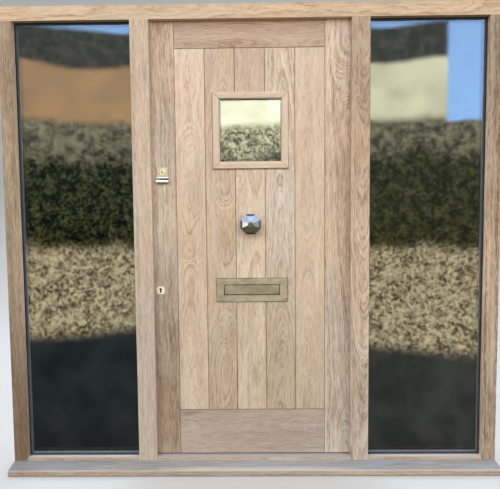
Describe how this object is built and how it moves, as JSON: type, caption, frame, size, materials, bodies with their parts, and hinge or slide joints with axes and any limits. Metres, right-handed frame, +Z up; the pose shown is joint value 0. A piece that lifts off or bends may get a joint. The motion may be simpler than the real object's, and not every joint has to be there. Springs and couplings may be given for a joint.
{
  "type": "front door set",
  "caption": "Boarded oak entrance door in its own frame between two fixed glazed sidelights, with letter plate, small square window, centre knob and locks.",
  "frame": {"origin": "on the sill's underside, at the middle of the frame's width, in the plane of the frame's outside face", "axes": "+X to the right seen from outside, +Y inwards through the doorway, +Z up"},
  "size_m": [2.224, 0.206, 2.1],
  "materials": {
    "oak_frame": "oiled oak, straight grain",
    "oak_leaf": "oiled oak, flat and quarter sawn",
    "oak_sill": "oak, weathered grey on top",
    "oak_moulding": "oiled oak",
    "oak_bead": "oiled oak",
    "glass_dark": "clear float, dark room behind",
    "glass_vision": "clear float",
    "spacer_grey": "matt grey",
    "gasket_black": "black",
    "seal_brown": "dark brown",
    "pewter_plate": "satin pewter",
    "chrome_knob": "polished",
    "nickel_plate": "pale brushed brass",
    "steel_hinge": "satin",
    "steel_screw": "satin",
    "brass_bolt": "satin brass",
    "steel_case": "zinc plated",
    "case_grey": "fine grey stove enamel"
  },
  "bodies": {
    "frame": {"frame_head": "oak_frame", "outer_jamb_left": "oak_frame", "outer_jamb_right": "oak_frame", "lock_mullion": "oak_frame", "hinge_mullion": "oak_frame", "sill": "oak_sill", "left_outer_pane": "glass_dark", "left_inner_pane": "glass_dark", "right_outer_pane": "glass_dark", "right_inner_pane": "glass_dark", "sidelight_spacer_bars": "spacer_grey", "glazing_gaskets": "gasket_black", "glazing_beads": "oak_bead", "door_weatherseal": "seal_brown", "hinge_frame_leaves": "steel_hinge", "hinge_pins": "steel_hinge", "frame_screws": "steel_screw", "deadlock_keep": "brass_bolt", "night_latch_keep": "case_grey"},
    "leaf": {"board_1": "oak_leaf", "board_2": "oak_leaf", "board_3_lower": "oak_leaf", "board_3_middle": "oak_leaf", "board_3_upper": "oak_leaf", "board_4": "oak_leaf", "board_5": "oak_leaf", "bottom_rail": "oak_leaf", "bottom_seal": "seal_brown", "centre_knob": "chrome_knob", "cylinder_housing": "chrome_knob", "cylinder_pull": "chrome_knob", "deadlock_case": "steel_case", "escutcheons": "nickel_plate", "hinge_door_leaves": "steel_hinge", "hinge_stile": "oak_leaf", "knob_bolt": "steel_screw", "leaf_screws": "steel_screw", "letter_plate": "pewter_plate", "letter_plate_bolts": "steel_screw", "letter_plate_inner": "pewter_plate", "lock_stile": "oak_leaf", "lower_ledge": "oak_leaf", "night_latch_case": "case_grey", "top_rail": "oak_leaf", "upper_ledge": "oak_leaf", "vision_beads": "oak_bead", "vision_frame_bottom": "oak_moulding", "vision_frame_left": "oak_moulding", "vision_frame_right": "oak_moulding", "vision_frame_top": "oak_moulding", "vision_inner_pane": "glass_vision", "vision_outer_pane": "glass_vision", "vision_spacer_bar": "spacer_grey"},
    "letter_flap": {"letter_flap": "pewter_plate"},
    "inner_flap": {"letter_flap_inner": "pewter_plate"},
    "deadlock_bolt": {"deadlock_bolt": "brass_bolt"},
    "latch_bolt": {"night_latch_bolt": "brass_bolt"},
    "latch_knob": {"night_latch_knob": "case_grey"},
    "snib": {"night_latch_snib": "case_grey"},
    "cylinder_plug": {"cylinder_plug": "nickel_plate"}
  },
  "joints": [
    {"name": "leaf_swing", "type": "hinge", "parent": "frame", "child": "leaf", "pos_m": [0.459, 0.0912, 1.092], "axis": [0, 0, -1], "range_deg": [0, 100]},
    {"name": "letter_flap_swing", "type": "hinge", "parent": "leaf", "child": "letter_flap", "pos_m": [0.0005, 0.029, 0.8535], "axis": [1, 0, 0], "range_deg": [0, 80], "stiffness_Nm_per_rad": 0.06},
    {"name": "inner_flap_swing", "type": "hinge", "parent": "leaf", "child": "inner_flap", "pos_m": [0.0005, 0.0896, 0.865], "axis": [1, 0, 0], "range_deg": [0, 85]},
    {"name": "deadlock_throw", "type": "slide", "parent": "leaf", "child": "deadlock_bolt", "axis": [-1, 0, 0], "range_m": [0, 0.02]},
    {"name": "latch_turn", "type": "hinge", "parent": "leaf", "child": "latch_knob", "pos_m": [-0.4, 0.115, 1.3705], "axis": [0, -1, 0], "range_deg": [0, 55]},
    {"name": "latch_throw", "type": "slide", "parent": "leaf", "child": "latch_bolt", "axis": [-1, 0, 0], "range_m": [0, 0.0121]},
    {"name": "snib_slide", "type": "slide", "parent": "leaf", "child": "snib", "axis": [1, 0, 0], "range_m": [0, 0.006]},
    {"name": "cylinder_turn", "type": "hinge", "parent": "leaf", "child": "cylinder_plug", "pos_m": [-0.4, 0.022, 1.3705], "axis": [0, -1, 0], "range_deg": [-90, 90]}
  ],
  "couplings": [
    {"joint": "latch_throw", "follows": "latch_turn", "m_per_rad": 0.012501}
  ]
}
